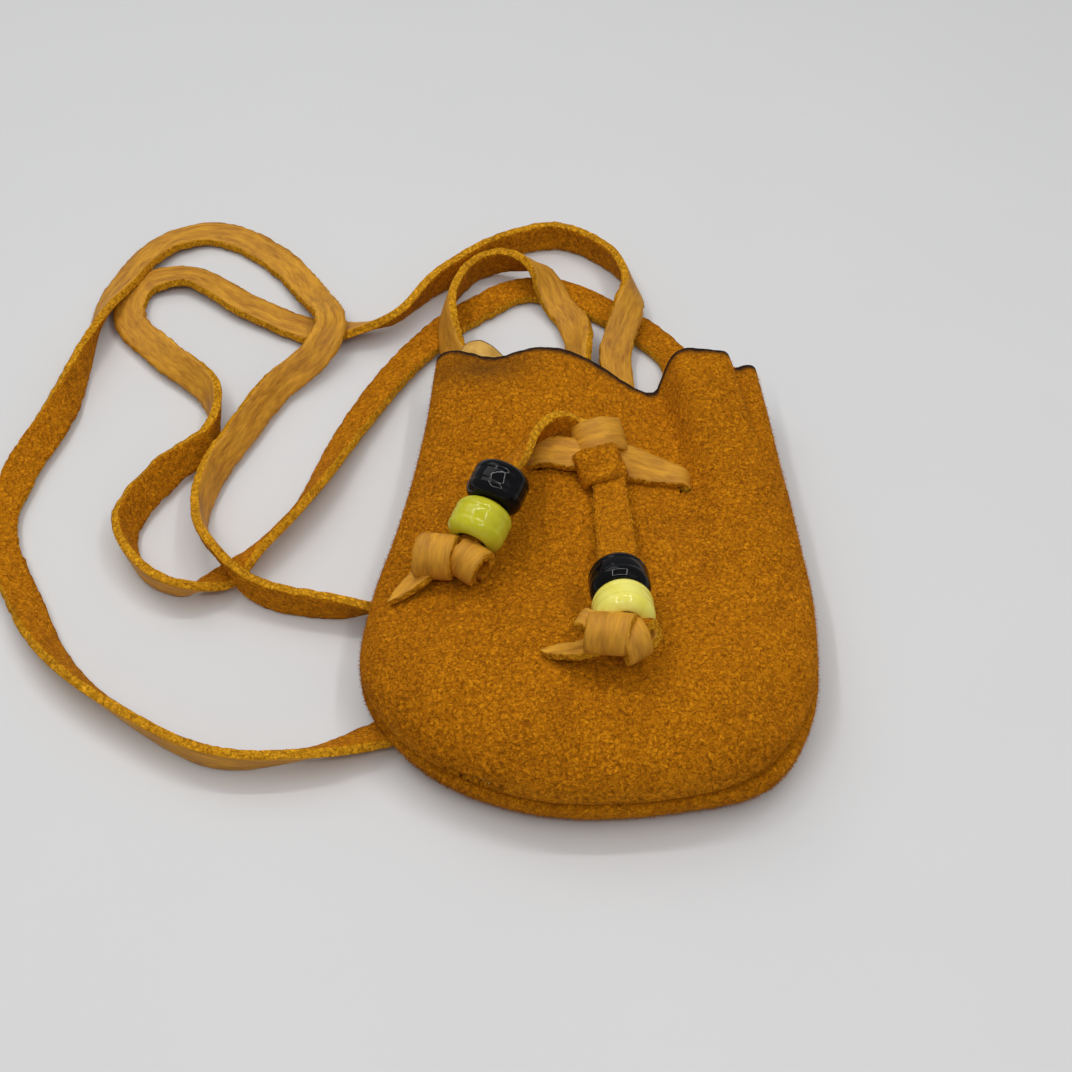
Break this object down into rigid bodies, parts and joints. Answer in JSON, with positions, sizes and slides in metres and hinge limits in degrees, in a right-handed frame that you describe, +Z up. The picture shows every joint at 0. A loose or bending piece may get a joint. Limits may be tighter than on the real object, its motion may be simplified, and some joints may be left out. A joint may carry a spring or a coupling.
{
  "type": "beaded drawstring medicine bag",
  "caption": "Small suede drawstring pouch lying on its back, its tie ends carrying sliding barrel beads and its long flat neck lace laid in loops beside it.",
  "frame": {"origin": "on the floor, under the middle of the pouch's own box, the neck lace left out", "axes": "+Y along the pouch towards its mouth, +X to the right when the mouth points away, +Z up through the front panel"},
  "size_m": [0.1194, 0.1222, 0.0234],
  "materials": {
    "suede": "ochre suede, nap outside, burnt brown at the cut mouth edges",
    "lace": "golden suede lace, smooth on one side and napped on the other",
    "black_bead": "opaque gloss black",
    "lime_bead": "gloss lime green, slightly marbled",
    "pale_lime_bead": "gloss pale lime, slightly marbled"
  },
  "bodies": {
    "pouch": {"front_panel": "suede", "back_panel": "suede", "drawstring": "lace", "neck_cord": "lace"},
    "left_lime": {"left_lime_bead": "lime_bead"},
    "left_black": {"left_black_bead": "black_bead"},
    "right_lime": {"right_lime_bead": "pale_lime_bead"},
    "right_black": {"right_black_bead": "black_bead"}
  },
  "joints": [
    {"name": "left_lime_slide", "type": "slide", "parent": "pouch", "child": "left_lime", "axis": [0.3981, 0.875, 0.2756], "range_m": [0, 0.001]},
    {"name": "left_black_slide", "type": "slide", "parent": "left_lime", "child": "left_black", "axis": [0.3981, 0.875, 0.2756], "range_m": [0, 0.0012]},
    {"name": "right_lime_slide", "type": "slide", "parent": "pouch", "child": "right_lime", "axis": [-0.0485, 0.9691, -0.2419], "range_m": [0, 0.0025]},
    {"name": "right_black_slide", "type": "slide", "parent": "right_lime", "child": "right_black", "axis": [-0.0485, 0.9691, -0.2419], "range_m": [0, 0.003]}
  ]
}
